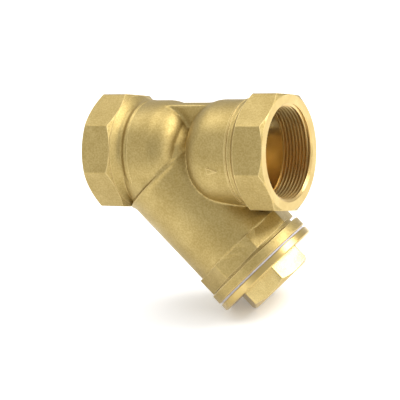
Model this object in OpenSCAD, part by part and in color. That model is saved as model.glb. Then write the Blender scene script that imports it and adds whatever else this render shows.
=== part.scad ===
// Y strainer with threaded pipe ends, a screen in the inclined branch and a screwed cap.
// Origin: centre of the inlet face, on the pipe axis.  +X is the flow direction, +Z is up,
// and the branch leans down towards the outlet in the XZ plane.

/* [Pipe ends] */
// Length from the inlet face to the outlet face
face_to_face = 127; // [124:1:140]
// Width across the flats of the two octagonal collars
collar_af = 70; // [69:0.5:74]
// Length of each octagonal collar
collar_len = 20.2; // [19.6:0.2:23]
// Bore of the pipe thread at its crests
thread_bore_d = 56.656; // [54:0.002:57]
// Length of the pipe thread
thread_len = 19.5; // [17:0.5:19.5]

/* [Body] */
// Angle between the pipe axis and the branch axis
branch_angle = 50; // [48:0.5:52]
// Distance from the inlet face to where the branch axis meets the pipe axis
branch_x = 31; // [30:0.5:32]
// Outside diameter of the inlet and outlet barrels
barrel_d = 64; // [63:0.5:65]
// Outside diameter of the branch
branch_d = 66.4; // [66:0.2:68]
// Distance along the branch axis to the gasket face
branch_len = 97.6; // [96:0.2:100]
// Bore of the inlet passage behind the thread
inlet_d = 54; // [50:0.5:55]
// Bore of the branch chamber round the screen
chamber_d = 58.4; // [57.6:0.2:59]
// Bore of the outlet chamber behind the thread
outlet_d = 55; // [52:0.5:56]
// Thickness of the web between the two barrels
web_w = 6; // [4:0.5:10]

/* [Branch end] */
// Width across the flats of the octagonal band
band_af = 65; // [64:0.5:66]
// Diameter of the round flange under the gasket
flange_d = 72; // [70:0.5:74]
// Thickness of the round flange
flange_t = 6.4; // [5:0.2:7]

/* [Screen] */
// Outside diameter of the screen tube
screen_d = 48; // [44:0.5:48]
// Thickness of the screen sheet
screen_t = 0.8; // [0.6:0.1:1.2]
// Outside diameter of the ring at the upper end
seat_ring_d = 51; // [50.5:0.5:51]
// Height of the two end rings
ring_h = 5; // [4:0.5:6]

/* [Cap] */
// Outside diameter of the threaded skirt
skirt_d = 57.2; // [56.4:0.1:57.4]
// Length of the threaded skirt
skirt_len = 14; // [10:0.5:15]
// Diameter of the cap flange
cap_d = 71.6; // [70:0.2:74]
// Thickness of the cap flange
cap_t = 4.7; // [4:0.1:6]
// Width across the flats of the hexagon head
hex_af = 43; // [41:0.5:46]
// Height of the hexagon head
hex_h = 11.7; // [10:0.1:14]
// Thickness of the gasket
gasket_t = 1.3; // [1:0.1:2]

/* [Hidden] */
$fn = 96;

// Overlap of solids that are joined, and the reach of a cut past the face it opens
lap = 1;

// Radial play between a thread crest and its wall
thread_play = 0.05;
// Play between the screen and the metal round it
screen_play = 0.3;
// Slope of the corner chamfers on the octagons and the hexagon
chamfer_angle = 35;
// Depth of the entry chamfer of a pipe thread
entry_depth = 0.9;
octagon_corner = 1 / cos(22.5);
hexagon_corner = 1 / cos(30);

// Stations along the branch axis, from the pipe axis
elbow_end_s = 15;
seat_s = 18;
seat_depth = 5;
chamber_s = seat_s + seat_depth;
throat_d = 45;
band_start_s = 79;
groove_w = 2.2;
groove_d = 63.4;
flange_s = branch_len - flange_t;
band_end_s = flange_s - groove_w;
skirt_s = branch_len + gasket_t - skirt_len;
branch_thread_len = branch_len - skirt_s + lap;
cap_face_s = branch_len + gasket_t;
cap_end_s = cap_face_s + cap_t + hex_h;

// Stations along the pipe axis
lip_x = 60;
dome_x = 65.7;
dome_round = 18;
dome_wall = 4.5;
inlet_end_x = 60.4;
inlet_round = 17;
neck_len = 3.2;
neck_d = collar_af - 0.6;
neck_groove_d = 61;
inlet_barrel_x = 30;
outlet_ring_x = face_to_face - 27.2;
outlet_collar_x = face_to_face - collar_len;

// Cap and screen details
skirt_bore_d = 51.6;
skirt_bore_end_s = branch_len - 1;
head_bore_d = 32;
cap_wall = 5;
foot_ring_d = skirt_bore_d - 2 * screen_play;
screen_top_s = seat_s + 0.1;
screen_foot_s = skirt_bore_end_s - screen_play;
gasket_id = skirt_d + 1.2;
gasket_od = 69.2;
mark_x = 87;
mark_len = 7.6;
mark_h = 0.8;

// Turns a shape that stands on +Z so that it lies along the pipe axis, starting at x
module along_pipe(x = 0) {
  translate([x, 0, 0])
    rotate([0, 90, 0])
      children();
}

// Turns a shape that stands on +Z so that it lies along the branch axis, starting at station s
module along_branch(s = 0) {
  translate([branch_x, 0, 0])
    rotate([0, 90 + branch_angle, 0])
      translate([0, 0, s])
        children();
}

// A prism with n sides whose corners are turned down at the ends that are asked for
module turned_prism(n, af, h, corner, cut_start, cut_end) {
  r = af / 2;
  corner_play = 0.2;
  rise = r * (corner - 1) + corner_play;
  drop = rise * tan(chamfer_angle);
  start_r = cut_start ? r : r + rise;
  start_z = cut_start ? drop : 0;
  end_r = cut_end ? r : r + rise;
  end_z = cut_end ? h - drop : h;
  intersection() {
    cylinder(h = h, r = r * corner, $fn = n);
    rotate_extrude()
      polygon([[0, 0], [start_r, 0], [r + rise, start_z], [r + rise, end_z], [end_r, h], [0, h]]);
  }
}

// Octagonal collar of a pipe end, from its face inwards
module collar() {
  turned_prism(8, collar_af, collar_len, octagon_corner, true, true);
}

// Outline of a round barrel that is closed by a rounded end, standing on its closed end
module domed_outline(r, corner, len) {
  square([r - corner, len]);
  translate([0, corner]) square([r, len - corner]);
  intersection() {
    translate([r - corner, corner]) circle(corner);
    translate([r - corner, 0]) square(corner);
  }
}

// Outside of the inlet barrel with its neck and rounded closed end, measured from the inlet face
module inlet_shell() {
  r = barrel_d / 2;
  neck_r = neck_d / 2;
  groove_r = neck_groove_d / 2;
  groove_x = collar_len + neck_len + lap;
  groove_len = 2.2;
  rotate_extrude() {
    polygon([
      [0, collar_len],
      [neck_r, collar_len],
      [groove_r, groove_x],
      [groove_r, groove_x + groove_len],
      [r, inlet_barrel_x - lap],
      [r, branch_x],
      [0, branch_x]
    ]);
    translate([0, inlet_end_x])
      mirror([0, 1])
        domed_outline(r, inlet_round, inlet_end_x - inlet_barrel_x);
  }
}

// Outside of the outlet barrel with its neck and rounded closed end, measured from the inlet face
module outlet_shell() {
  r = barrel_d / 2;
  neck_r = neck_d / 2;
  ring_rise = 0.5;
  rotate_extrude() {
    translate([0, dome_x])
      domed_outline(r, dome_round, outlet_ring_x - dome_x);
    polygon([
      [0, outlet_ring_x - lap],
      [r, outlet_ring_x - lap],
      [r, outlet_ring_x],
      [r + ring_rise, outlet_ring_x + ring_rise],
      [r + ring_rise, outlet_collar_x - neck_len],
      [neck_r, outlet_collar_x],
      [0, outlet_collar_x]
    ]);
  }
}

// Foot of the branch, between the inlet barrel and the branch tube
module branch_foot() {
  foot_d = barrel_d - 1.6;
  along_branch(0) cylinder(h = elbow_end_s + lap, d = foot_d);
}

// Raised lip that carries the upper rim of the branch on to the outlet barrel
module branch_lip() {
  lip_rise = 6;
  lip_lift = 1.6;
  intersection() {
    along_branch(-lip_rise)
      translate([-lip_lift, 0, 0])
        cylinder(h = elbow_end_s + lap + lip_rise, d = branch_d);
    translate([lip_x, -barrel_d, -barrel_d])
      cube([barrel_d / 2, 2 * barrel_d, 2 * barrel_d]);
  }
}

// Outside of the branch tube, between two stations
module branch_wall(s_start, s_end) {
  along_branch(s_start) cylinder(h = s_end - s_start, d = branch_d);
}

// Thin web and top rib between the two barrels
module web() {
  rib_drop = 0.8;
  translate([branch_x, -web_w / 2, 0])
    cube([dome_x + dome_round - branch_x, web_w, barrel_d / 2 - rib_drop]);
}

// Raised arrow on each side of the outlet barrel, pointing the way the flow goes
module flow_arrow(side) {
  r = barrel_d / 2;
  root = 3;
  half_w = 2.3;
  translate([mark_x, side * (r + mark_h - root), 0])
    rotate([side * 90, 0, 0])
      translate([0, 0, -root])
        linear_extrude(root)
          polygon([[0, half_w], [0, -half_w], [mark_len, 0]]);
}

// Entry chamfer of a pipe thread, at the origin and opening towards -Z
module thread_entry() {
  r = thread_bore_d / 2;
  entry_r = r + entry_depth * tan(60);
  rotate_extrude()
    polygon([[0, -lap], [entry_r, -lap], [entry_r, 0], [r, entry_depth], [0, entry_depth]]);
}

// Hollow of the outlet chamber, from its rounded closed end to the thread
module outlet_chamber() {
  end = face_to_face - thread_len + lap - dome_x - dome_wall;
  rotate_extrude()
    domed_outline(outlet_d / 2, dome_round - dome_wall, end);
}

// Everything that is hollow in the body
module body_hollows() {
  branch_thread_s = branch_len - branch_thread_len;
  along_pipe(-lap) cylinder(h = thread_len + lap, d = thread_bore_d);
  along_pipe(0) thread_entry();
  along_pipe(thread_len - lap) cylinder(h = branch_x + lap - thread_len, d = inlet_d);
  translate([branch_x, 0, 0]) sphere(d = inlet_d);
  along_branch(0) cylinder(h = seat_s + lap, d = throat_d);
  along_branch(seat_s) cylinder(h = seat_depth + lap, d = seat_ring_d + 2 * screen_play);
  along_branch(chamber_s) cylinder(h = branch_thread_s - chamber_s, d = chamber_d);
  along_branch(branch_thread_s - lap)
    cylinder(h = branch_thread_len + 2 * lap, d = skirt_d + 2 * thread_play);
  along_pipe(dome_x + dome_wall) outlet_chamber();
  along_pipe(face_to_face - thread_len) cylinder(h = thread_len + lap, d = thread_bore_d);
  along_pipe(face_to_face) mirror([0, 0, 1]) thread_entry();
}

// The six modules below are one casting on the real object. They meet face to face.
// Octagonal collar at the inlet, with its pipe thread
module inlet_collar() {
  color("#b89e58")
    difference() {
      along_pipe(0) collar();
      body_hollows();
    }
}

// Inlet barrel with its rounded end, the throat, the screen's seat, the branch lip and the web
module inlet_bend() {
  color("#b89e58")
    difference() {
      union() {
        along_pipe(0) inlet_shell();
        branch_foot();
        branch_lip();
        branch_wall(elbow_end_s, chamber_s);
        web();
      }
      body_hollows();
      along_pipe(0) collar();
      branch_wall(chamber_s, band_start_s);
      along_pipe(0) outlet_shell();
    }
}

// Tube of the branch round the screen
module branch_tube() {
  color("#b89e58")
    difference() {
      branch_wall(chamber_s, band_start_s);
      body_hollows();
      along_pipe(0) outlet_shell();
    }
}

// Octagonal band, groove and flange at the foot of the branch, with the cap's thread
module branch_end() {
  band_len = band_end_s - band_start_s;
  color("#b89e58")
    difference() {
      union() {
        along_branch(band_start_s) turned_prism(8, band_af, band_len, octagon_corner, false, true);
        along_branch(band_end_s - lap) cylinder(h = groove_w + 2 * lap, d = groove_d);
        along_branch(flange_s) cylinder(h = flange_t, d = flange_d);
      }
      body_hollows();
      along_pipe(0) outlet_shell();
      along_pipe(outlet_collar_x) collar();
    }
}

// Outlet barrel with its rounded closed end and the flow arrows
module outlet_barrel() {
  color("#b89e58")
    difference() {
      union() {
        along_pipe(0) outlet_shell();
        flow_arrow(-1);
        flow_arrow(1);
      }
      body_hollows();
    }
}

// Octagonal collar at the outlet, with its pipe thread
module outlet_collar() {
  color("#b89e58")
    difference() {
      along_pipe(outlet_collar_x) collar();
      body_hollows();
    }
}

// Screwed cap: skirt, flange and hexagon head
module cap() {
  // Turn of the hexagon when the cap is tight
  hex_turn = 45.5;
  head_overlap = 0.5;
  color("#dcc176")
    difference() {
      union() {
        along_branch(skirt_s) cylinder(h = skirt_len + lap, d = skirt_d);
        along_branch(cap_face_s) cylinder(h = cap_t, d = cap_d);
        along_branch(cap_face_s + cap_t - head_overlap)
          rotate([0, 0, hex_turn])
            turned_prism(6, hex_af, hex_h + head_overlap, hexagon_corner, false, true);
      }
      along_branch(skirt_s - lap) cylinder(h = skirt_bore_end_s + lap - skirt_s, d = skirt_bore_d);
      along_branch(skirt_s) cylinder(h = cap_end_s - cap_wall - skirt_s, d = head_bore_d);
    }
}

// Flat sealing ring between the branch flange and the cap flange
module cap_gasket() {
  color("#e4e2e6")
    along_branch(branch_len)
      difference() {
        cylinder(h = gasket_t, d = gasket_od);
        translate([0, 0, -lap]) cylinder(h = gasket_t + 2 * lap, d = gasket_id);
      }
}

// A plain ring that stands on the branch axis
module branch_ring(s, h, outer_d, inner_d) {
  along_branch(s)
    difference() {
      cylinder(h = h, d = outer_d);
      translate([0, 0, -lap]) cylinder(h = h + 2 * lap, d = inner_d);
    }
}

// Rolled sheet of the screen, whose holes are too small to be drawn here
module screen_sheet() {
  color("#9a9a98")
    branch_ring(screen_top_s, screen_foot_s - screen_top_s, screen_d, screen_d - 2 * screen_t);
}

// Ring round the upper end of the screen, which rests on the seat in the body
module screen_seat_ring() {
  color("#b4b4b2") branch_ring(screen_top_s, ring_h, seat_ring_d, screen_d);
}

// Ring round the lower end of the screen, which sits in the cap
module screen_foot_ring() {
  color("#b4b4b2") branch_ring(screen_foot_s - ring_h, ring_h, foot_ring_d, screen_d);
}

inlet_collar();
inlet_bend();
branch_tube();
branch_end();
outlet_barrel();
outlet_collar();
cap();
cap_gasket();
screen_sheet();
screen_seat_ring();
screen_foot_ring();
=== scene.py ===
import math
import bpy
import bmesh
from mathutils import Matrix, Vector


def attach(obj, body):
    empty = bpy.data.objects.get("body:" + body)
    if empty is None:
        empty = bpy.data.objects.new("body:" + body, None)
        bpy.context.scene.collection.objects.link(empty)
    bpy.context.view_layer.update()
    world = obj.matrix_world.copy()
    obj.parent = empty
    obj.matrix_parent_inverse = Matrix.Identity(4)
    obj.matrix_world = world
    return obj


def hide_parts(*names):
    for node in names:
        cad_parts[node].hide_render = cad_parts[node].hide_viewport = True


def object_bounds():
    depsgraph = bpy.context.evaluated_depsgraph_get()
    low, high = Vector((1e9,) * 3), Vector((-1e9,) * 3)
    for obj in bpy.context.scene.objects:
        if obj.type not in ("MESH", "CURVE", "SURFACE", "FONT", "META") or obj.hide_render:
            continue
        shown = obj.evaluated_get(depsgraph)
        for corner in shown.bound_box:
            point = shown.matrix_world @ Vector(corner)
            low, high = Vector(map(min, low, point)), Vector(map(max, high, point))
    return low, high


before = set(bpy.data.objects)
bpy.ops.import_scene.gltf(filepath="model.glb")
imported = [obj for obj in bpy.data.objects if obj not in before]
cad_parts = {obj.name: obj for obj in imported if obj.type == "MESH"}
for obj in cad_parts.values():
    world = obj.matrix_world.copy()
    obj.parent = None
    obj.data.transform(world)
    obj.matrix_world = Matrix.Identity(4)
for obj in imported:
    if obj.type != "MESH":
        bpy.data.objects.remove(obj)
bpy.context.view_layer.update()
print("frame loaded")

# Lengths are in millimetres while a piece is shaped, and become metres when it is finished.
metre = 0.001
smoothAngle = math.radians(28)

pipe = {
    "length": 127.0,
    "collarFlats": 70.0,
    "collarLength": 20.2,
    "threadCrest": 28.33,
    "threadDepth": 1.45,
    "threadPitch": 2.309,
    "threadLength": 19.5,
    "threadBacking": 30.3,
    "boreRadius": 29.9,
    "entryDepth": 1.0,
}
branch = {
    "originX": 31.0,
    "angle": 50.0,
    "radius": 33.1,
    "startS": 15.0,
    "bandS": 79.0,
    "bandFlats": 65.0,
    "bandChamfer": 3.0,
    "bandTilt": 1.8,
    "grooveS": 89.0,
    "grooveRadius": 31.7,
    "flangeS": 91.2,
    "flangeRadius": 36.0,
    "faceS": 97.6,
}


def pipeAt(x):
    # what stands on +Z lies along the pipe, from x
    return Matrix.Translation((x, 0, 0)) @ Matrix.Rotation(math.radians(90), 4, "Y")


def branchAt(s):
    # what stands on +Z lies along the branch, from station s
    turn = Matrix.Rotation(math.radians(90 + branch["angle"]), 4, "Y")
    return Matrix.Translation((branch["originX"], 0, 0)) @ turn @ Matrix.Translation((0, 0, s))


# ---- modelling helpers


def toObject(bm, name):
    mesh = bpy.data.meshes.new(name)
    bm.to_mesh(mesh)
    bm.free()
    obj = bpy.data.objects.new(name, mesh)
    bpy.context.scene.collection.objects.link(obj)
    return obj


def lathe(outline, place, steps=128):
    # outline is a list of (radius, height); it closes on itself unless both ends are on the axis
    bm = bmesh.new()
    verts = [bm.verts.new((r, 0, z)) for r, z in outline]
    onAxis = outline[0][0] == 0 and outline[-1][0] == 0
    first = 1 if onAxis else 0
    edges = [bm.edges.new((verts[i - 1], verts[i])) for i in range(first, len(verts))]
    bmesh.ops.spin(
        bm, geom=verts + edges, cent=(0, 0, 0), axis=(0, 0, 1),
        angle=math.tau, steps=steps, use_merge=True,
    )
    bmesh.ops.remove_doubles(bm, verts=bm.verts, dist=0.0005)
    bmesh.ops.recalc_face_normals(bm, faces=bm.faces)
    bmesh.ops.transform(bm, matrix=place, verts=bm.verts)
    return toObject(bm, "turned")


def rod(radius, start, end, place, steps=128):
    return lathe([(0, start), (radius, start), (radius, end), (0, end)], place, steps)


def ball(radius, centre):
    bm = bmesh.new()
    bmesh.ops.create_uvsphere(
        bm, u_segments=96, v_segments=48, radius=radius, matrix=Matrix.Translation(centre)
    )
    return toObject(bm, "ball")


def block(low, high, place=Matrix()):
    bm = bmesh.new()
    low, high = Vector(low), Vector(high)
    size = Matrix.Diagonal((*(high - low), 1))
    bmesh.ops.create_cube(bm, size=1, matrix=Matrix.Translation((low + high) / 2) @ size)
    bmesh.ops.transform(bm, matrix=place, verts=bm.verts)
    return toObject(bm, "block")


def prism(sides, flats, height, place, turn=0.0, edge=0.7):
    # upright prism, its long edges slightly rounded
    bm = bmesh.new()
    radius = flats / 2 / math.cos(math.pi / sides)
    bmesh.ops.create_cone(
        bm, cap_ends=True, segments=sides, radius1=radius, radius2=radius, depth=height,
        matrix=Matrix.Rotation(turn + math.pi / 2, 4, "Z") @ Matrix.Translation((0, 0, height / 2)),
    )
    upright = [e for e in bm.edges if abs(e.verts[0].co.z - e.verts[1].co.z) > height / 2]
    bmesh.ops.bevel(
        bm, geom=upright, offset=edge, segments=3, affect="EDGES", profile=0.5, material=-1
    )
    bmesh.ops.transform(bm, matrix=place, verts=bm.verts)
    return toObject(bm, "prism")


def bake(obj):
    # applies the modifiers of a helper object
    bpy.context.view_layer.update()
    seen = obj.evaluated_get(bpy.context.evaluated_depsgraph_get())
    mesh = bpy.data.meshes.new_from_object(seen)
    obj.modifiers.clear()
    old = obj.data
    obj.data = mesh
    bpy.data.meshes.remove(old)
    return obj


def combine(obj, other, operation):
    mod = obj.modifiers.new("combine", "BOOLEAN")
    mod.operation = operation
    mod.solver = "MANIFOLD"
    mod.object = other
    bake(obj)
    if not obj.data.polygons:
        raise RuntimeError("an empty result from " + operation)
    bpy.data.objects.remove(other)
    return obj


def joined(objects, name):
    # one mesh from several, with their shells left as they are
    bm = bmesh.new()
    for obj in objects:
        bm.from_mesh(obj.data)
        bpy.data.objects.remove(obj)
    return toObject(bm, name)


def melted(objects, voxel, passes, name):
    # one closed skin over several overlapping solids, its joins rounded by smoothing
    obj = joined(objects, name)
    mod = obj.modifiers.new("skin", "REMESH")
    mod.mode = "VOXEL"
    mod.voxel_size = voxel
    bake(obj)
    bm = bmesh.new()
    bm.from_mesh(obj.data)
    for _ in range(passes):
        bmesh.ops.smooth_vert(
            bm, verts=bm.verts, factor=0.5, use_axis_x=True, use_axis_y=True, use_axis_z=True
        )
    bm.to_mesh(obj.data)
    bm.free()
    return obj


def helix(crest, root, backing, pitch, length, entry, place, phase=0.0):
    # thread of a bore (crest < root) or of a skirt (crest > root), backed by a plain wall
    bm = bmesh.new()
    steps = 96
    tooth = [
        (0.00, crest), (0.06, crest), (0.38, root), (0.46, root + (crest - root) * -0.05),
        (0.54, root), (0.62, root), (0.94, crest),
    ]
    count = int(length / pitch) + 4
    line = []
    for turn in range(-2, count):
        for share, radius in tooth:
            line.append(bm.verts.new((radius, 0, (turn + share + phase) * pitch)))
    edges = [bm.edges.new((line[i], line[i + 1])) for i in range(len(line) - 1)]
    bmesh.ops.spin(
        bm, geom=line + edges, cent=(0, 0, 0), axis=(0, 0, 1), dvec=(0, 0, pitch / steps),
        angle=math.tau, steps=steps, use_merge=False,
    )
    bmesh.ops.remove_doubles(bm, verts=bm.verts, dist=0.01)
    for level, up in ((0.0, -1), (length, 1)):
        bmesh.ops.bisect_plane(
            bm, geom=bm.verts[:] + bm.edges[:] + bm.faces[:], dist=1e-5,
            plane_co=(0, 0, level), plane_no=(0, 0, up), clear_outer=True,
        )
    inside = crest < root
    slope = abs(root - crest) / entry
    for v in bm.verts:
        radius = math.hypot(v.co.x, v.co.y)
        if inside:
            wanted = max(radius, root + 0.1 - v.co.z * slope)
        else:
            wanted = min(radius, root - 0.1 + v.co.z * slope)
        v.co.x *= wanted / radius
        v.co.y *= wanted / radius
    rims = [e for e in bm.edges if e.is_boundary]
    made = bmesh.ops.extrude_edge_only(bm, edges=rims)["geom"]
    for v in [g for g in made if isinstance(g, bmesh.types.BMVert)]:
        radius = math.hypot(v.co.x, v.co.y)
        v.co.x *= backing / radius
        v.co.y *= backing / radius
        v.co.z += 0.05 if v.co.z < length / 2 else 0.0
    outer = [e for e in bm.edges if e.is_boundary]
    bmesh.ops.bridge_loops(bm, edges=outer)
    bmesh.ops.dissolve_degenerate(bm, edges=bm.edges[:], dist=1e-4)
    bmesh.ops.recalc_face_normals(bm, faces=bm.faces)
    bmesh.ops.transform(bm, matrix=place, verts=bm.verts)
    return toObject(bm, "thread")


def finish(obj, name, body, nodes, materials, pick=None):
    # metres, materials, shading, and its place in the assembly
    mesh = obj.data
    obj.name = mesh.name = name
    mesh.materials.clear()
    for material in materials:
        mesh.materials.append(material)
    for face in mesh.polygons:
        face.material_index = pick(face.center, face.normal) if pick else 0
    mesh.transform(Matrix.Scale(metre, 4))
    mesh.shade_smooth()
    mesh.set_sharp_from_angle(angle=smoothAngle)
    mesh.update()
    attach(obj, body)
    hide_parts(*nodes)
    print(name, len(mesh.polygons), "faces")


# ---- shader groups and materials


def newGroup(name, inputs, outputs):
    group = bpy.data.node_groups.new(name, "ShaderNodeTree")
    for label, kind, value in inputs:
        socket = group.interface.new_socket(name=label, in_out="INPUT", socket_type=kind)
        socket.default_value = value
    for label, kind in outputs:
        group.interface.new_socket(name=label, in_out="OUTPUT", socket_type=kind)
    start = group.nodes.new("NodeGroupInput")
    end = group.nodes.new("NodeGroupOutput")
    return group, start, end


def addNode(tree, kind, **settings):
    node = tree.nodes.new(kind)
    for key, value in settings.items():
        setattr(node, key, value)
    return node


def feed(tree, value, socket):
    # links another node's output, or sets a plain value
    if isinstance(value, bpy.types.NodeSocket):
        tree.links.new(value, socket)
    else:
        socket.default_value = value


def mathNode(tree, operation, a, b):
    node = addNode(tree, "ShaderNodeMath", operation=operation)
    feed(tree, a, node.inputs[0])
    feed(tree, b, node.inputs[1])
    return node.outputs[0]


def noiseNode(tree, vector, scale, detail=3.0, rough=0.6):
    node = addNode(tree, "ShaderNodeTexNoise")
    tree.links.new(vector, node.inputs["Vector"])
    feed(tree, scale, node.inputs["Scale"])
    node.inputs["Detail"].default_value = detail
    node.inputs["Roughness"].default_value = rough
    return node.outputs["Fac"]


def rangeNode(tree, value, low, high, toLow=0.0, toHigh=1.0):
    node = addNode(tree, "ShaderNodeMapRange")
    tree.links.new(value, node.inputs["Value"])
    node.inputs["From Min"].default_value = low
    node.inputs["From Max"].default_value = high
    node.inputs["To Min"].default_value = toLow
    node.inputs["To Max"].default_value = toHigh
    return node.outputs["Result"]


def mixNode(tree, factor, a, b):
    node = addNode(tree, "ShaderNodeMix", data_type="RGBA")
    colours = [s for s in node.inputs if s.type == "RGBA"]
    result = [s for s in node.outputs if s.type == "RGBA"][0]
    for socket, value in zip([node.inputs[0]] + colours, (factor, a, b)):
        feed(tree, value, socket)
    return result


def blastedGrain():
    # shot-blasted casting: grain height, and a slow mottle for colour and roughness
    group, start, end = newGroup(
        "blastedGrain",
        [("Vector", "NodeSocketVector", (0, 0, 0)), ("Grain per m", "NodeSocketFloat", 1900.0)],
        [(label, "NodeSocketFloat") for label in ("Height", "Mottle", "Speck")],
    )
    vector, grain = start.outputs["Vector"], start.outputs["Grain per m"]
    fine = noiseNode(group, vector, grain, 2.0, 0.55)
    coarse = noiseNode(group, vector, mathNode(group, "MULTIPLY", grain, 0.28), 3.0, 0.6)
    finePart = mathNode(group, "MULTIPLY", fine, 0.65)
    coarsePart = mathNode(group, "MULTIPLY", coarse, 0.35)
    height = mathNode(group, "ADD", finePart, coarsePart)
    mottle = noiseNode(group, vector, mathNode(group, "MULTIPLY", grain, 0.028), 4.0, 0.6)
    speck = noiseNode(group, vector, mathNode(group, "MULTIPLY", grain, 0.5), 2.0, 0.5)
    group.links.new(height, end.inputs["Height"])
    group.links.new(rangeNode(group, mottle, 0.32, 0.68), end.inputs["Mottle"])
    group.links.new(rangeNode(group, speck, 0.35, 0.65), end.inputs["Speck"])
    return group


def turnedLines():
    # fine rings left by a turning tool about the X axis of the vector it is given
    group, start, end = newGroup(
        "turnedLines",
        [("Vector", "NodeSocketVector", (0, 0, 0)), ("Rings per m", "NodeSocketFloat", 1400.0)],
        [("Height", "NodeSocketFloat"), ("Tone", "NodeSocketFloat")],
    )
    vector = start.outputs["Vector"]
    parts = addNode(group, "ShaderNodeSeparateXYZ")
    group.links.new(vector, parts.inputs[0])
    y2 = mathNode(group, "MULTIPLY", parts.outputs[1], parts.outputs[1])
    z2 = mathNode(group, "MULTIPLY", parts.outputs[2], parts.outputs[2])
    radius = mathNode(group, "SQRT", mathNode(group, "ADD", y2, z2), 0.0)
    place = addNode(group, "ShaderNodeCombineXYZ")
    group.links.new(radius, place.inputs[0])
    group.links.new(parts.outputs[0], place.inputs[1])
    lines = noiseNode(group, place.outputs[0], start.outputs["Rings per m"], 2.0, 0.5)
    tone = noiseNode(group, vector, 60.0, 3.0, 0.6)
    group.links.new(lines, end.inputs["Height"])
    group.links.new(rangeNode(group, tone, 0.35, 0.65), end.inputs["Tone"])
    return group


def wornEdges():
    # where corners and ridges have rubbed bright
    group, start, end = newGroup(
        "wornEdges", [("Radius", "NodeSocketFloat", 0.001)], [("Wear", "NodeSocketFloat")]
    )
    rounded = addNode(group, "ShaderNodeBevel", samples=4)
    group.links.new(start.outputs["Radius"], rounded.inputs["Radius"])
    flat = addNode(group, "ShaderNodeNewGeometry")
    dot = addNode(group, "ShaderNodeVectorMath", operation="DOT_PRODUCT")
    group.links.new(rounded.outputs[0], dot.inputs[0])
    group.links.new(flat.outputs["Normal"], dot.inputs[1])
    group.links.new(rangeNode(group, dot.outputs["Value"], 0.998, 0.93), end.inputs["Wear"])
    return group


def newMaterial(name):
    material = bpy.data.materials.new(name)
    material.use_nodes = True
    tree = material.node_tree
    return material, tree, tree.nodes["Principled BSDF"]


def placeGroup(tree, group, vector, value):
    node = addNode(tree, "ShaderNodeGroup", node_tree=group)
    tree.links.new(vector, node.inputs[0])
    node.inputs[1].default_value = value
    return node


def bumpNode(tree, height, strength, distance, shader):
    node = addNode(tree, "ShaderNodeBump")
    node.inputs["Strength"].default_value = strength
    node.inputs["Distance"].default_value = distance
    tree.links.new(height, node.inputs["Height"])
    tree.links.new(node.outputs["Normal"], shader.inputs["Normal"])


def objectVector(tree, matrix=None):
    # object coordinates, or the same turned about a point so that +X lies along the branch
    coordinates = addNode(tree, "ShaderNodeTexCoord")
    if matrix is None:
        return coordinates.outputs["Object"]
    mapping = addNode(tree, "ShaderNodeMapping", vector_type="POINT")
    place, turn, _ = matrix.decompose()
    mapping.inputs["Location"].default_value = place
    mapping.inputs["Rotation"].default_value = turn.to_euler()
    tree.links.new(coordinates.outputs["Object"], mapping.inputs["Vector"])
    return mapping.outputs["Vector"]


grainGroup = blastedGrain()
linesGroup = turnedLines()
wearGroup = wornEdges()
toBranchAxis = (
    Matrix.Translation(Vector((branch["originX"], 0, 0)) * metre)
    @ Matrix.Rotation(math.radians(branch["angle"]), 4, "Y")
).inverted()

castLook = {
    "light": (0.49, 0.375, 0.155, 1),
    "dark": (0.35, 0.255, 0.085, 1),
    "roughLow": 0.40,
    "roughHigh": 0.52,
    "grain": 1900.0,
    "bump": 0.30,
    "wearRadius": 0.0009,
    "worn": (0.66, 0.52, 0.24, 1),
}
turnedLook = {
    "light": (0.58, 0.44, 0.18, 1),
    "dark": (0.49, 0.355, 0.125, 1),
    "roughLow": 0.24,
    "roughHigh": 0.34,
    "rings": 2200.0,
    "bump": 0.10,
}
capLook = {
    "light": (0.58, 0.455, 0.20, 1),
    "dark": (0.48, 0.355, 0.13, 1),
    "roughLow": 0.22,
    "roughHigh": 0.30,
    "grain": 2600.0,
    "bump": 0.07,
    "wearRadius": 0.0006,
    "worn": (0.72, 0.58, 0.28, 1),
}
# inside brass painted brighter than the turned brass outside: painted light, standing in for light
# bounced around within the bore
borePaintedLightLook = {
    "light": (0.68, 0.50, 0.22, 1),
    "dark": (0.60, 0.42, 0.16, 1),
    "roughLow": 0.26,
    "roughHigh": 0.36,
    "rings": 1500.0,
    "bump": 0.08,
}


def castMaterial(name, look):
    material, tree, shader = newMaterial(name)
    grain = placeGroup(tree, grainGroup, objectVector(tree), look["grain"])
    blend = mathNode(
        tree, "ADD",
        mathNode(tree, "MULTIPLY", grain.outputs["Mottle"], 0.4),
        mathNode(tree, "MULTIPLY", grain.outputs["Speck"], 0.6),
    )
    wear = addNode(tree, "ShaderNodeGroup", node_tree=wearGroup)
    wear.inputs["Radius"].default_value = look["wearRadius"]
    bare = mixNode(tree, blend, look["dark"], look["light"])
    colour = mixNode(tree, wear.outputs["Wear"], bare, look["worn"])
    tree.links.new(colour, shader.inputs["Base Color"])
    rough = rangeNode(tree, grain.outputs["Mottle"], 0.0, 1.0, look["roughHigh"], look["roughLow"])
    tree.links.new(rough, shader.inputs["Roughness"])
    shader.inputs["Metallic"].default_value = 1.0
    bumpNode(tree, grain.outputs["Height"], look["bump"], 0.0006, shader)
    return material


def turnedMaterial(name, look, matrix=None):
    material, tree, shader = newMaterial(name)
    lines = placeGroup(tree, linesGroup, objectVector(tree, matrix), look["rings"])
    colour = mixNode(tree, lines.outputs["Tone"], look["dark"], look["light"])
    tree.links.new(colour, shader.inputs["Base Color"])
    rough = rangeNode(tree, lines.outputs["Tone"], 0.0, 1.0, look["roughHigh"], look["roughLow"])
    tree.links.new(rough, shader.inputs["Roughness"])
    shader.inputs["Metallic"].default_value = 1.0
    bumpNode(tree, lines.outputs["Height"], look["bump"], 0.0002, shader)
    return material


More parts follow.
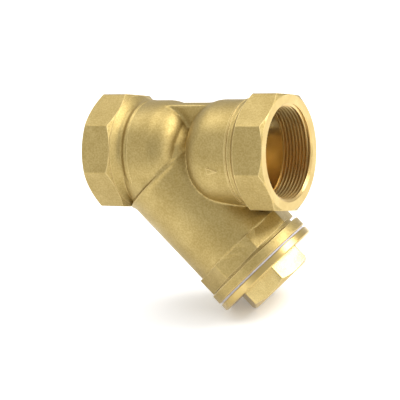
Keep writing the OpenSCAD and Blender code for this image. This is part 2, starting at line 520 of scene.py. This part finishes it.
castBrass = castMaterial("castBrass", castLook)
forgedBrass = castMaterial("forgedBrass", capLook)
turnedBrass = turnedMaterial("turnedBrass", turnedLook)
turnedBranchBrass = turnedMaterial("turnedBranchBrass", turnedLook, toBranchAxis)
# painted light: the inside of the pipe run gets a brighter copy of the turned brass
borePaintedLightBrass = turnedMaterial("borePaintedLightBrass", borePaintedLightLook)


def gasketMaterial():
    material, tree, shader = newMaterial("gasketPlastic")
    vector = objectVector(tree)
    tone = rangeNode(tree, noiseNode(tree, vector, 260.0, 3.0), 0.35, 0.65)
    colour = mixNode(tree, tone, (0.60, 0.58, 0.62, 1), (0.74, 0.72, 0.76, 1))
    tree.links.new(colour, shader.inputs["Base Color"])
    tree.links.new(rangeNode(tree, tone, 0, 1, 0.42, 0.55), shader.inputs["Roughness"])
    bumpNode(tree, noiseNode(tree, vector, 1800.0, 2.0), 0.08, 0.0003, shader)
    return material


def steelMaterial():
    material, tree, shader = newMaterial("screenSteel")
    lines = placeGroup(tree, linesGroup, objectVector(tree, toBranchAxis), 900.0)
    tone = lines.outputs["Tone"]
    colour = mixNode(tree, tone, (0.46, 0.455, 0.44, 1), (0.60, 0.60, 0.59, 1))
    tree.links.new(colour, shader.inputs["Base Color"])
    tree.links.new(rangeNode(tree, tone, 0, 1, 0.36, 0.26), shader.inputs["Roughness"])
    shader.inputs["Metallic"].default_value = 1.0
    bumpNode(tree, lines.outputs["Height"], 0.12, 0.0002, shader)
    return material


gasketPlastic = gasketMaterial()
screenSteel = steelMaterial()
print("materials ready")

# ---- body

casting = {
    "inletRadius": 31.8,
    "inletEndX": 60.4,
    "inletRound": 17.0,
    "footRadius": 31.2,
    "outletRadius": 32.2,
    "domeX": 65.7,
    "domeRound": 18.0,
    "lipX": 60.0,
    "lipLift": 1.8,
    "lipEndS": 30.0,
    "webHalf": 3.0,
    "webTop": 31.4,
    "arrowX": 89.4,
    "arrowRise": 0.8,
    "voxel": 0.7,
    "passes": 3,
}


def domeOutline(radius, start, corner, end, steps=18):
    # closed end at start, rounded by corner, then straight to end
    outline = [(0, start)]
    for i in range(steps + 1):
        turn = math.pi / 2 * i / steps
        out, rise = corner * math.sin(turn), corner * (1 - math.cos(turn))
        outline.append((radius - corner + out, start + rise))
    return outline + [(radius, end), (0, end)]


def castSkin():
    c = casting
    tube, start = branch["radius"], branch["startS"]
    outline = [
        (0, start), (tube - 1.7, start), (tube + 0.3, start + 0.2), (tube + 1.1, start + 0.7),
        (tube + 1.0, start + 1.7), (tube + 0.2, start + 3.0), (tube, start + 4.2),
        (tube, 79.2), (tube - 0.6, 80), (0, 80),
    ]
    tilt = Matrix.Rotation(math.atan(c["lipLift"] / c["lipEndS"]), 4, "Y")
    lip = rod(tube, -6 - c["lipEndS"], 0, branchAt(c["lipEndS"]) @ tilt)
    combine(lip, block((c["lipX"], -40, -40), (c["lipX"] + 16, 40, 40)), "INTERSECT")
    half, end = c["webHalf"], c["inletEndX"]
    back = pipeAt(end) @ Matrix.Rotation(math.pi, 4, "X")
    parts = [
        lathe(domeOutline(c["inletRadius"], 0, c["inletRound"], end - 30), back),
        rod(c["footRadius"], 0, start, branchAt(0)),
        lathe(outline, branchAt(0)),
        lip,
        lathe(domeOutline(c["outletRadius"], c["domeX"], c["domeRound"], 101), pipeAt(0)),
        block((branch["originX"], -half, 0), (85, half, c["webTop"])),
    ]
    return melted(parts, c["voxel"], c["passes"], "castSkin")


def collar(place):
    # octagon with its corners turned down at both ends
    h, r = pipe["collarLength"], pipe["collarFlats"] / 2
    corner = r / math.cos(math.pi / 8)
    drop = (corner - r + 0.2) * math.tan(math.radians(35))
    turned = lathe(
        [
            (0, 0), (r - 0.5, 0), (r, 0.15), (corner + 0.2, drop), (corner + 0.2, h - drop),
            (r, h), (0, h),
        ],
        place,
    )
    return combine(prism(8, 2 * r, h, place), turned, "INTERSECT")


def inletNeck():
    return lathe(
        [
            (0, 18), (34.6, 18), (34.7, 20.4), (33.4, 21.6), (31.6, 23.2), (30.8, 24.4),
            (30.5, 25.6), (30.7, 26.8), (31.4, 27.8), (32.05, 28.7), (32.2, 29.7), (32.05, 30.5),
            (31.6, 31.2), (31.0, 31.6), (0, 31.6),
        ],
        pipeAt(0),
    )


def outletNeck():
    return lathe(
        [
            (0, 99), (31.8, 99), (32.1, 99.7), (32.8, 99.9), (32.9, 101.2), (32.4, 101.5),
            (32.4, 101.8), (32.9, 102.1), (32.9, 104.3), (32.6, 104.6), (32.7, 104.9),
            (33.5, 105.2), (34.7, 106.6), (34.7, 108), (0, 108),
        ],
        pipeAt(0),
    )


def branchEnd():
    band = branch["bandFlats"] / 2
    start, end = branch["bandS"], branch["flangeS"]
    corner = band / math.cos(math.pi / 8)
    drop = (corner - band + 0.2) * math.tan(math.radians(branch["bandChamfer"]))
    turned = lathe(
        [
            (0, start), (corner, start), (corner + 0.2, start + 0.3), (corner + 0.2, end - drop),
            (band, end), (0, end),
        ],
        branchAt(0),
    )
    octagon = combine(prism(8, 2 * band, end - start, branchAt(start)), turned, "INTERSECT")
    # the band's far end is not quite square, so its groove is widest at the top
    tilt = Matrix.Rotation(math.radians(-branch["bandTilt"]), 4, "Y")
    middle = (branch["grooveS"] + branch["flangeS"]) / 2
    combine(octagon, block((-50, -50, -30), (50, 50, 0), branchAt(middle) @ tilt), "INTERSECT")
    rim, face, top = branch["flangeRadius"], branch["faceS"], branch["flangeS"]
    groove = branch["grooveRadius"]
    flange = lathe(
        [
            (0, end - 5), (groove, end - 5), (groove, top - 0.2), (groove + 0.4, top),
            (rim - 0.5, top), (rim, top + 0.5), (rim, face - 0.4), (rim - 0.4, face), (0, face),
        ],
        branchAt(0),
    )
    return combine(octagon, flange, "UNION")


def flowArrow(side):
    # raised triangle with soft edges, on the outlet barrel, pointing with the flow
    bm = bmesh.new()
    bmesh.ops.create_cone(
        bm, cap_ends=True, segments=3, radius1=5.6, radius2=4.2, depth=2.4,
        matrix=Matrix.Rotation(math.radians(-90), 4, "Z"),
    )
    bmesh.ops.bevel(
        bm, geom=bm.edges[:], offset=0.3, segments=2, affect="EDGES", profile=0.5, material=-1
    )
    squeeze = Matrix.Diagonal((1.05, 0.56, 1, 1))
    lift = Matrix.Translation((0, 0, casting["outletRadius"] + casting["arrowRise"] - 1.2))
    lay = Matrix.Rotation(math.radians(-90 * side), 4, "X")
    place = Matrix.Translation((casting["arrowX"], 0, 0)) @ lay @ lift @ squeeze
    bmesh.ops.transform(bm, matrix=place, verts=bm.verts)
    return toObject(bm, "arrow")


hollow = {
    "passageRadius": 27.0,
    "throat": (22.5, 0, 19),  # radius, then where it starts and ends along the branch
    "seat": (25.8, 18, 24),
    "chamber": (29.2, 23, 84),
    "threadWall": (29.35, 83.5, 99),
    "outletRadius": 27.5,
    "outletWall": 4.5,
}


def bodyHollows():
    bore, end, deep = pipe["boreRadius"], pipe["length"], pipe["threadLength"]
    passage, wall = hollow["passageRadius"], hollow["outletWall"]
    outlet = domeOutline(
        hollow["outletRadius"], casting["domeX"] + wall, casting["domeRound"] - wall, end - deep + 1
    )
    return [
        rod(bore, -1, deep, pipeAt(0)),
        rod(passage, deep - 1, branch["originX"], pipeAt(0)),
        ball(passage, (branch["originX"], 0, 0)),
        rod(*hollow["throat"], branchAt(0)),
        rod(*hollow["seat"], branchAt(0)),
        rod(*hollow["chamber"], branchAt(0)),
        rod(*hollow["threadWall"], branchAt(0)),
        lathe(outlet, pipeAt(0)),
        rod(bore, end - deep, end + 1, pipeAt(0)),
    ]


def branchPolar(point):
    away = point - Vector((branch["originX"], 0, 0))
    angle = math.radians(branch["angle"])
    axis = Vector((math.cos(angle), 0, -math.sin(angle)))
    s = away.dot(axis)
    return s, (away - axis * s).length


def bodyFinish(centre, normal):
    # 0 casting, 1 turned end faces, 2 turned about the branch, 3 inside of the pipe run, in brass
    # painted brighter as painted light for the light inside
    s, out = branchPolar(centre)
    radius = math.hypot(centre.y, centre.z)
    endOn = min(centre.x, pipe["length"] - centre.x)
    inward = -(normal.y * centre.y + normal.z * centre.z) / max(radius, 1)
    if s > branch["faceS"] - 0.6 or (s > 83 and out < 30.2):
        return 2
    if endOn > 0.3 and endOn < pipe["threadLength"] + 0.2 and radius < pipe["boreRadius"] + 0.45:
        return 3
    if radius < 27.8 and (inward > 0.05 or (69.5 < centre.x < 85 and normal.x > 0.3)):
        return 3
    if endOn < 0.4 and abs(normal.x) > 0.6:
        return 1
    return 0


def makeBody():
    body = castSkin()
    for part in (
        collar(pipeAt(0)),
        collar(pipeAt(pipe["length"] - pipe["collarLength"])),
        inletNeck(),
        outletNeck(),
        branchEnd(),
        flowArrow(1),
        flowArrow(-1),
    ):
        combine(body, part, "UNION")
    for cutter in bodyHollows():
        combine(body, cutter, "DIFFERENCE")
    crest = pipe["threadCrest"]
    pipeThread = (
        crest, crest + pipe["threadDepth"], pipe["threadBacking"], pipe["threadPitch"],
        pipe["threadLength"] + 0.05, pipe["entryDepth"],
    )
    c = capShape
    flip = Matrix.Rotation(math.pi, 4, "Y")
    threads = [
        helix(*pipeThread, pipeAt(0)),
        helix(*pipeThread, pipeAt(pipe["length"]) @ flip),
        helix(
            c["threadRoot"] + c["threadGap"], c["threadCrest"] + c["threadGap"],
            c["bodyThreadBacking"], c["pitch"], c["bodyThreadLength"], c["bodyThreadEntry"],
            branchAt(branch["faceS"]) @ flip, phase=c["bodyThreadPhase"],
        ),
    ]
    body = joined([body] + threads, "bodyCasting")
    finish(
        body, "body_casting", "body",
        [
            "inlet_collar", "inlet_bend", "branch_tube", "branch_end", "outlet_barrel",
            "outlet_collar",
        ],
        [castBrass, turnedBrass, turnedBranchBrass, borePaintedLightBrass], bodyFinish,
    )


# ---- cap

capShape = {
    "skirtS": 84.9,
    "threadCrest": 28.85,
    "threadRoot": 27.75,
    "threadGap": 0.22,
    "pitch": 2.0,
    "entry": 1.2,
    "bodyThreadPhase": 0.35,
    "bodyThreadBacking": 29.9,
    "bodyThreadLength": 13.0,
    "bodyThreadEntry": 0.6,
    "boreRadius": 25.8,
    "boreEndS": 96.6,
    "pocketRadius": 16.0,
    "pocketEndS": 110.3,
    "flangeS": 98.9,
    "flangeEndS": 103.6,
    "flangeRadius": 35.8,
    "hexFlats": 43.0,
    "hexEndS": 115.3,
    "hexTurn": 45.5,
}


def makeCap():
    c = capShape
    rim, low, high = c["flangeRadius"], c["flangeS"], c["flangeEndS"]
    root, skirt = c["threadRoot"], c["skirtS"]
    bore, boreEnd = c["boreRadius"], c["boreEndS"]
    pocket, pocketEnd = c["pocketRadius"], c["pocketEndS"]
    shell = lathe(
        [
            (0, pocketEnd), (pocket - 1.5, pocketEnd), (pocket, pocketEnd - 1.5),
            (pocket, boreEnd + 0.3), (pocket + 0.3, boreEnd), (bore, boreEnd), (bore, skirt + 0.3),
            (bore + 0.3, skirt), (root - 0.4, skirt), (root - 0.2, skirt + 0.4),
            (root - 0.2, low - 0.3), (root + 0.1, low), (rim - 0.3, low), (rim, low + 0.3),
            (rim, high - 0.7), (rim - 0.7, high), (25.6, high), (25.2, high - 0.25), (24.8, high),
            (20.0, high), (20.0, pocketEnd + 3), (0, pocketEnd + 3),
        ],
        branchAt(0),
    )
    flats = c["hexFlats"] / 2
    corner = flats / math.cos(math.pi / 6)
    end = c["hexEndS"]
    drop = (corner - flats + 1.2) * math.tan(math.radians(30))
    turned = lathe(
        [
            (0, high - 1), (corner + 1, high - 1), (corner + 1, end - drop - 0.5),
            (flats - 1.0, end), (0, end),
        ],
        branchAt(0),
    )
    sunk = 0.6
    head = prism(
        6, 2 * flats, end - high + sunk, branchAt(high - sunk), math.radians(c["hexTurn"]), 0.45
    )
    combine(head, turned, "INTERSECT")
    combine(head, rod(pocket, high - 2, pocketEnd - 1.5, branchAt(0)), "DIFFERENCE")
    combine(shell, head, "UNION")
    length = low - 1.6 - skirt
    thread = helix(
        c["threadCrest"], root, root - 0.9, c["pitch"], length, c["entry"], branchAt(skirt)
    )
    cap = joined([shell, thread], "cap")
    looks = [forgedBrass, turnedBranchBrass]
    finish(cap, "cap_forging", "cap", ["cap"], looks, capFinish)


def capFinish(centre, normal):
    # 0 forged head, 1 turned flange and skirt
    s, out = branchPolar(centre)
    return 0 if s > capShape["flangeEndS"] + 0.1 and out > capShape["pocketRadius"] + 0.2 else 1


# ---- gasket and screen


gasketShape = {
    "startS": 97.6,
    "endS": 98.9,
    "inner": 29.25,
    "outer": 34.6,
}


def makeGasket():
    low, high, inner, outer = gasketShape.values()
    ring = lathe(
        [
            (inner + 0.15, low), (outer - 0.2, low), (outer, low + 0.25), (outer, high - 0.25),
            (outer - 0.2, high), (inner + 0.15, high), (inner, high - 0.2), (inner, low + 0.2),
        ],
        branchAt(0),
    )
    finish(ring, "cap_gasket_ring", "seal", ["cap_gasket"], [gasketPlastic])


screenShape = {
    "outer": 24.0,
    "sheet": 0.8,
    "startS": 18.1,
    "endS": 96.3,
    "ringHeight": 5.0,
    "seatRadius": 25.5,
    "columns": 60,
    "rows": 27,
    "web": 0.42,
    "cornerCut": 0.48,
}


def makeScreenSheet():
    c = screenShape
    bm = bmesh.new()
    rim = c["ringHeight"] + 0.6
    low, high, rows = c["startS"] + rim, c["endS"] - rim, c["rows"]
    between = [low + (high - low) * i / rows for i in range(rows + 1)]
    heights = [c["startS"]] + between + [c["endS"]]
    line = [bm.verts.new((c["outer"], 0, z)) for z in heights]
    edges = [bm.edges.new((line[i], line[i + 1])) for i in range(len(line) - 1)]
    bmesh.ops.spin(
        bm, geom=line + edges, cent=(0, 0, 0), axis=(0, 0, 1), angle=math.tau,
        steps=c["columns"], use_merge=True,
    )
    bmesh.ops.remove_doubles(bm, verts=bm.verts, dist=0.001)
    bmesh.ops.recalc_face_normals(bm, faces=bm.faces)
    cells = [f for f in bm.faces if low < f.calc_center_median().z < high]
    bmesh.ops.inset_individual(bm, faces=cells, thickness=c["web"], use_even_offset=True)
    corners = list({v for f in cells for v in f.verts})
    bmesh.ops.bevel(
        bm, geom=corners, offset=c["cornerCut"], segments=1, affect="VERTICES", profile=0.5,
        material=-1,
    )
    holes = [f for f in bm.faces if len(f.verts) == 8 and low < f.calc_center_median().z < high]
    bmesh.ops.delete(bm, geom=holes, context="FACES")
    bmesh.ops.solidify(bm, geom=bm.faces[:], thickness=c["sheet"])
    bmesh.ops.recalc_face_normals(bm, faces=bm.faces)
    bmesh.ops.transform(bm, matrix=branchAt(0), verts=bm.verts)
    sheet = toObject(bm, "sheet")
    nodes = ["screen_sheet"]
    finish(sheet, "screen_sheet_perforated", "screen", nodes, [screenSteel])


def makeScreenRing(name, node, start):
    inner, outer = screenShape["outer"], screenShape["seatRadius"]
    end = start + screenShape["ringHeight"]
    ring = lathe(
        [
            (inner, start), (outer - 0.4, start), (outer, start + 0.4), (outer, end - 0.4),
            (outer - 0.4, end), (inner, end),
        ],
        branchAt(0),
    )
    finish(ring, name, "screen", [node], [screenSteel])


makeBody()
makeCap()
makeGasket()
makeScreenSheet()
makeScreenRing("screen_seat_band", "screen_seat_ring", screenShape["startS"])
footStart = screenShape["endS"] - screenShape["ringHeight"]
makeScreenRing("screen_foot_band", "screen_foot_ring", footStart)

# ---- floor, light and camera

stageSet = {
    "floorSize": 6.0,
    "floorColour": (0.93, 0.93, 0.93, 1),
    "floorGlow": 0.22,
    "worldStrength": 0.72,
    "keyPower": 14.0,
    "topPower": 12.0,
    "sidePower": 2.0,
    "fillPower": 1.5,
}


def makeFloor():
    bm = bmesh.new()
    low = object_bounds()[0][2]
    bmesh.ops.create_grid(
        bm, x_segments=1, y_segments=1, size=stageSet["floorSize"] / 2,
        matrix=Matrix.Translation((0, 0, low)),
    )
    floor = toObject(bm, "floor")
    material, tree, shader = newMaterial("floorPaper")
    shader.inputs["Base Color"].default_value = stageSet["floorColour"]
    shader.inputs["Roughness"].default_value = 0.9
    shader.inputs["Emission Color"].default_value = (1, 1, 1, 1)
    shader.inputs["Emission Strength"].default_value = stageSet["floorGlow"]
    floor.data.materials.append(material)


def makeLight(name, place, target, size, power):
    data = bpy.data.lights.new(name, "AREA")
    data.shape = "DISK"
    data.size = size
    data.energy = power
    lamp = bpy.data.objects.new(name, data)
    lamp.location = place
    lamp.rotation_euler = (Vector(target) - Vector(place)).to_track_quat("-Z", "Y").to_euler()
    bpy.context.scene.collection.objects.link(lamp)


def makeWorld():
    world = bpy.data.worlds.new("studio")
    world.use_nodes = True
    world.node_tree.nodes["Background"].inputs["Color"].default_value = (1, 1, 1, 1)
    world.node_tree.nodes["Background"].inputs["Strength"].default_value = stageSet["worldStrength"]
    bpy.context.scene.world = world


cameraSet = {
    "target": (0.06486, -0.01109, -0.02774),
    "azimuth": 32.88,
    "elevation": 19.912,
    "roll": -10.884,
    "distance": 1.1767,
    "lens": 171.84,
}


def makeCamera():
    c = cameraSet
    azimuth, elevation, roll = (math.radians(c[k]) for k in ("azimuth", "elevation", "roll"))
    level = math.cos(elevation)
    back = Vector((math.sin(azimuth) * level, -math.cos(azimuth) * level, math.sin(elevation)))
    across = Vector((math.cos(azimuth), math.sin(azimuth), 0))
    upright = back.cross(across)
    right = across * math.cos(roll) + upright * math.sin(roll)
    up = upright * math.cos(roll) - across * math.sin(roll)
    turn = Matrix((right, up, back)).transposed().to_4x4()
    data = bpy.data.cameras.new("camera")
    data.lens = c["lens"]
    data.sensor_width = 36.0
    camera = bpy.data.objects.new("camera", data)
    camera.matrix_world = Matrix.Translation(Vector(c["target"]) + back * c["distance"]) @ turn
    bpy.context.scene.collection.objects.link(camera)
    bpy.context.scene.camera = camera


makeFloor()
makeWorld()
centre = (0.065, 0.0, -0.03)
makeLight("key", (0.95, 0.35, 0.9), centre, 0.9, stageSet["keyPower"])
makeLight("top", (-0.25, 0.1, 1.5), centre, 1.4, stageSet["topPower"])
makeLight("side", (1.3, -0.45, 0.3), centre, 0.5, stageSet["sidePower"])
makeLight("fill", (-0.9, -0.9, 0.5), centre, 0.9, stageSet["fillPower"])
makeCamera()
bpy.context.scene.view_settings.view_transform = "Standard"
print("stage ready")
